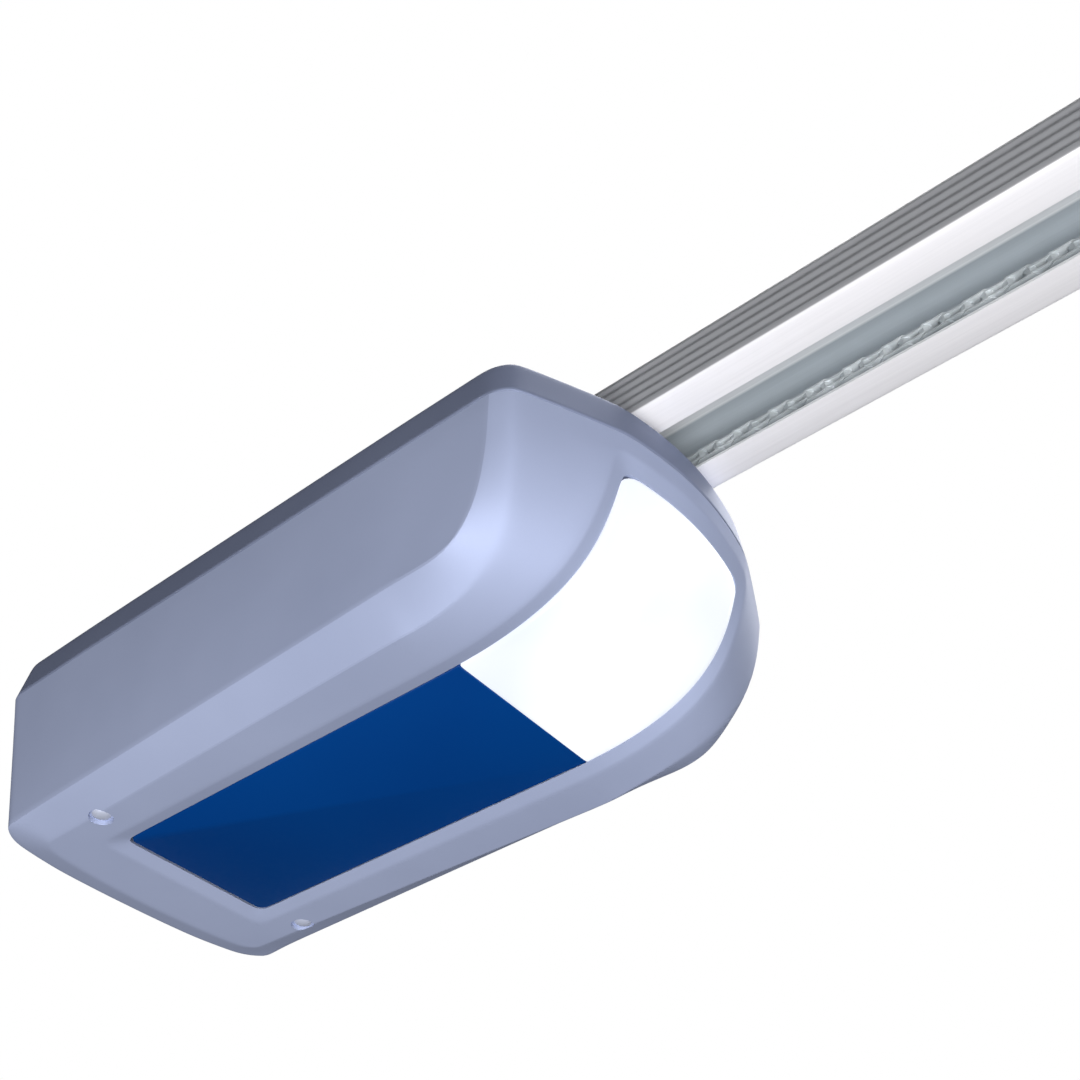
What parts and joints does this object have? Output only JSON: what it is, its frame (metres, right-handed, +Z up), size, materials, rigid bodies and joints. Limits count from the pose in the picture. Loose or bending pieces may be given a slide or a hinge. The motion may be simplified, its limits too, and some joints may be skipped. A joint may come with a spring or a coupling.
{
  "type": "garage door opener",
  "caption": "Ceiling-hung garage door opener: a moulded powerhead with a lit wrap-round lens drives a chain trolley along a C-section steel rail.",
  "frame": {"origin": "middle of the ceiling bracket's four holes, on its bolting face", "axes": "+X along the rail towards the door, +Z up to the ceiling, +Y across"},
  "size_m": [3.2076, 0.199, 0.576],
  "materials": {
    "cover_shell": "satin moulded ABS",
    "housing_shell": "satin moulded ABS",
    "lens": "translucent opal",
    "label": "satin film",
    "screws": "zinc plated",
    "sheet_steel": "galvanised",
    "saddle_steel": "galvanised",
    "rail_steel": "galvanised",
    "chain": "oiled",
    "cast_box": "die cast",
    "bearing_steel": "ground",
    "shaft_steel": "turned",
    "wheel_plastic": "natural acetal",
    "sprocket_steel": "blackened",
    "motor_steel": "black",
    "cap_plastic": "moulded",
    "magnet": "ferrite",
    "laminations": "stacked sheet",
    "winding": "enamelled copper",
    "board_green": "solder mask",
    "components": "moulded",
    "nylon": "natural nylon",
    "reflector_white": "moulded",
    "black_plastic": "moulded",
    "button_plastic": "moulded",
    "brass_pins": "bright",
    "spring_steel": "drawn wire",
    "lever_red": "moulded",
    "trolley_plastic": "glass-filled nylon",
    "arm_steel": "galvanised"
  },
  "bodies": {
    "root": {"lower_cover": "cover_shell", "upper_housing": "housing_shell", "label_panel": "label", "cover_screws": "screws", "chassis_plate": "sheet_steel", "ceiling_bracket": "sheet_steel", "housing_screws": "screws", "rail_saddle": "saddle_steel", "rail_straps": "sheet_steel", "gearbox_housing": "cast_box", "gearbox_lid": "cast_box", "gearbox_screws": "screws", "output_bearings": "bearing_steel", "motor_can": "motor_steel", "motor_end_cap": "cap_plastic", "motor_magnets": "magnet", "rotor_bearings": "bearing_steel", "transformer_core": "laminations", "transformer_coil": "winding", "control_board": "board_green", "board_standoffs": "nylon", "board_parts": "components", "reflector": "reflector_white", "lamp_board": "reflector_white", "button_bezel": "black_plastic", "switch_board": "board_green", "power_inlet": "black_plastic", "inlet_pins": "brass_pins", "rail": "rail_steel", "drive_chain": "chain", "idler_fork": "sheet_steel", "idler_axle": "shaft_steel", "end_sleeve": "sheet_steel", "tension_screw": "screws", "tension_spring": "spring_steel", "tension_nut": "screws", "header_pin": "shaft_steel"},
    "drive": {"output_shaft": "shaft_steel", "worm_wheel": "wheel_plastic", "drive_sprocket": "sprocket_steel"},
    "idler": {"idler_sprocket": "sprocket_steel"},
    "armature": {"rotor": "laminations", "worm_shaft": "shaft_steel"},
    "lens": {"light_lens": "lens"},
    "program_key": {"program_button": "button_plastic"},
    "down_key": {"down_button": "button_plastic"},
    "up_key": {"up_button": "button_plastic"},
    "header": {"header_bracket": "arm_steel"},
    "trolley": {"trolley_body": "trolley_plastic", "slide_shoes": "nylon", "chain_connector": "sprocket_steel", "lever_pin": "shaft_steel", "lever_spring": "spring_steel", "arm_pin": "shaft_steel"},
    "lever": {"release_lever": "lever_red"},
    "arm": {"straight_arm": "arm_steel", "curved_arm": "arm_steel", "arm_bolts": "screws"},
    "door": {"door_bracket": "arm_steel", "door_pin": "shaft_steel"}
  },
  "joints": [
    {"name": "trolley_travel", "type": "slide", "parent": "root", "child": "trolley", "axis": [-1, 0, 0], "range_m": [0, 2.4003]},
    {"name": "drive_spin", "type": "hinge", "parent": "root", "child": "drive", "pos_m": [0.12, 0, -0.026], "axis": [0, 0, 1], "continuous": true},
    {"name": "idler_spin", "type": "hinge", "parent": "root", "child": "idler", "pos_m": [3.0156, 0, -0.026], "axis": [0, 0, 1], "continuous": true},
    {"name": "armature_spin", "type": "hinge", "parent": "root", "child": "armature", "pos_m": [0.12, 0.03125, -0.09], "axis": [1, 0, 0], "continuous": true},
    {"name": "release_pull", "type": "hinge", "parent": "trolley", "child": "lever", "pos_m": [2.8166, 0, -0.057], "axis": [0, 1, 0], "range_deg": [0, 25], "stiffness_Nm_per_rad": 0.06, "springref_deg": -5.73},
    {"name": "arm_swing", "type": "hinge", "parent": "trolley", "child": "arm", "pos_m": [2.9006, 0, -0.062], "axis": [0, -1, 0], "range_deg": [-10, 80]},
    {"name": "door_pivot", "type": "hinge", "parent": "arm", "child": "door", "pos_m": [2.91746, 0, -0.542], "axis": [0, -1, 0], "range_deg": [-60, 60]},
    {"name": "header_tilt", "type": "hinge", "parent": "root", "child": "header", "pos_m": [3.1186, 0, -0.02], "axis": [0, -1, 0], "range_deg": [-25, 25]},
    {"name": "lens_open", "type": "hinge", "parent": "root", "child": "lens", "pos_m": [0.2125, 0, -0.1428], "axis": [0, 1, 0], "range_deg": [0, 50]},
    {"name": "program_press", "type": "slide", "parent": "root", "child": "program_key", "axis": [1, 0, 0], "range_m": [0, 0.002], "stiffness_N_per_m": 400, "springref_m": -0.001},
    {"name": "down_press", "type": "slide", "parent": "root", "child": "down_key", "axis": [1, 0, 0], "range_m": [0, 0.002], "stiffness_N_per_m": 400, "springref_m": -0.001},
    {"name": "up_press", "type": "slide", "parent": "root", "child": "up_key", "axis": [1, 0, 0], "range_m": [0, 0.002], "stiffness_N_per_m": 400, "springref_m": -0.001}
  ],
  "couplings": [
    {"joint": "drive_spin", "follows": "trolley_travel", "rad_per_m": 54.971},
    {"joint": "idler_spin", "follows": "trolley_travel", "rad_per_m": 54.971},
    {"joint": "armature_spin", "follows": "trolley_travel", "rad_per_m": 1099.4}
  ]
}
